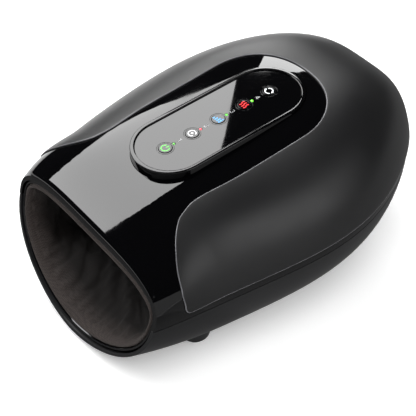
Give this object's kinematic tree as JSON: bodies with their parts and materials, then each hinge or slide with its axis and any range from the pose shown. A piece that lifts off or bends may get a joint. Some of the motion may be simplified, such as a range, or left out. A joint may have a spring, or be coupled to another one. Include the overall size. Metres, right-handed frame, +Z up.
{
  "type": "hand massager",
  "caption": "Enclosed air-compression hand massager: a rounded housing with a padded mouth for the hand, a soft-touch cover and a raised control pod with push buttons.",
  "frame": {"origin": "centre of the bounding box at the underside of the feet", "axes": "+Y from the mouth to the rear, +X to the right seen from the mouth, +Z up"},
  "size_m": [0.1856, 0.2528, 0.1159],
  "materials": {
    "battery_wrap": "shrink wrap",
    "clear_lens": "clear",
    "collar_fabric": "knitted grey-brown fabric",
    "fibreglass": "green solder mask",
    "gloss_abs": "high gloss black ABS",
    "heating_film": "polyimide film",
    "nylon": "natural nylon",
    "rubber": "matt black",
    "satin_abs": "satin dark grey ABS",
    "soft_touch": "soft-touch coating, charcoal",
    "steel": "bright",
    "tpu_film": "satin TPU film"
  },
  "bodies": {
    "base": {"air_manifold": "nylon", "air_valve_1": "steel", "air_valve_2": "steel", "air_valve_3": "steel", "battery_cell_1": "battery_wrap", "battery_cell_2": "battery_wrap", "battery_holder": "nylon", "board_screw_1": "steel", "board_screw_2": "steel", "board_screw_3": "steel", "board_screw_4": "steel", "charging_socket": "steel", "control_board": "fibreglass", "finger_air_cell": "tpu_film", "finger_tube": "rubber", "foot_front_left": "rubber", "foot_front_right": "rubber", "foot_rear_left": "rubber", "foot_rear_right": "rubber", "hand_air_cell": "tpu_film", "hand_tube": "rubber", "housing_screw_1": "steel", "housing_screw_2": "steel", "housing_screw_3": "steel", "housing_screw_4": "steel", "indicator_lens_1": "clear_lens", "indicator_lens_2": "clear_lens", "indicator_lens_3": "clear_lens", "indicator_lens_4": "clear_lens", "key_switch_1": "nylon", "key_switch_2": "nylon", "key_switch_3": "nylon", "key_switch_4": "nylon", "key_switch_5": "nylon", "lower_housing": "satin_abs", "mouth_collar": "collar_fabric", "mouth_ring": "gloss_abs", "palm_air_cell": "tpu_film", "palm_tray": "nylon", "palm_tube": "rubber", "pod_panel": "gloss_abs", "pod_rim": "gloss_abs", "pump_cradle": "rubber", "pump_head": "nylon", "pump_motor": "steel", "soft_cover": "soft_touch", "supply_tube": "rubber", "tunnel_frame": "nylon", "upper_housing": "gloss_abs"},
    "power_button": {"power_button": "gloss_abs"},
    "mode_button": {"mode_button": "gloss_abs"},
    "intensity_button": {"intensity_button": "gloss_abs"},
    "heat_button": {"heat_button": "gloss_abs"},
    "timer_button": {"timer_button": "gloss_abs"},
    "hand_press": {"hand_press_pad": "rubber"},
    "finger_press": {"finger_press_pad": "rubber"},
    "palm_press": {"palm_plate": "rubber", "heating_mat": "heating_film"},
    "pump_crank": {"pump_eccentric": "steel"}
  },
  "joints": [
    {"name": "power_button_press", "type": "slide", "parent": "base", "child": "power_button", "axis": [0, 0.0526, -0.9986], "range_m": [0, 0.0008], "stiffness_N_per_m": 800, "springref_m": -0.0004},
    {"name": "mode_button_press", "type": "slide", "parent": "base", "child": "mode_button", "axis": [0, 0.0526, -0.9986], "range_m": [0, 0.0008], "stiffness_N_per_m": 800, "springref_m": -0.0004},
    {"name": "intensity_button_press", "type": "slide", "parent": "base", "child": "intensity_button", "axis": [0, 0.0526, -0.9986], "range_m": [0, 0.0008], "stiffness_N_per_m": 800, "springref_m": -0.0004},
    {"name": "heat_button_press", "type": "slide", "parent": "base", "child": "heat_button", "axis": [0, 0.0526, -0.9986], "range_m": [0, 0.0008], "stiffness_N_per_m": 800, "springref_m": -0.0004},
    {"name": "timer_button_press", "type": "slide", "parent": "base", "child": "timer_button", "axis": [0, 0.0526, -0.9986], "range_m": [0, 0.0008], "stiffness_N_per_m": 800, "springref_m": -0.0004},
    {"name": "hand_press_slide", "type": "slide", "parent": "base", "child": "hand_press", "axis": [0, 0, -1], "range_m": [0, 0.01], "stiffness_N_per_m": 300, "springref_m": -0.002, "deforming": ["hand_air_cell"]},
    {"name": "finger_press_slide", "type": "slide", "parent": "base", "child": "finger_press", "axis": [0, 0, -1], "range_m": [0, 0.01], "stiffness_N_per_m": 300, "springref_m": -0.002, "deforming": ["finger_air_cell"]},
    {"name": "palm_press_slide", "type": "slide", "parent": "base", "child": "palm_press", "axis": [0, 0, 1], "range_m": [0, 0.006], "deforming": ["palm_air_cell"]},
    {"name": "pump_spin", "type": "hinge", "parent": "base", "child": "pump_crank", "pos_m": [0.07392, -0.00483, 0.06182], "axis": [0, 1, 0], "continuous": true}
  ]
}
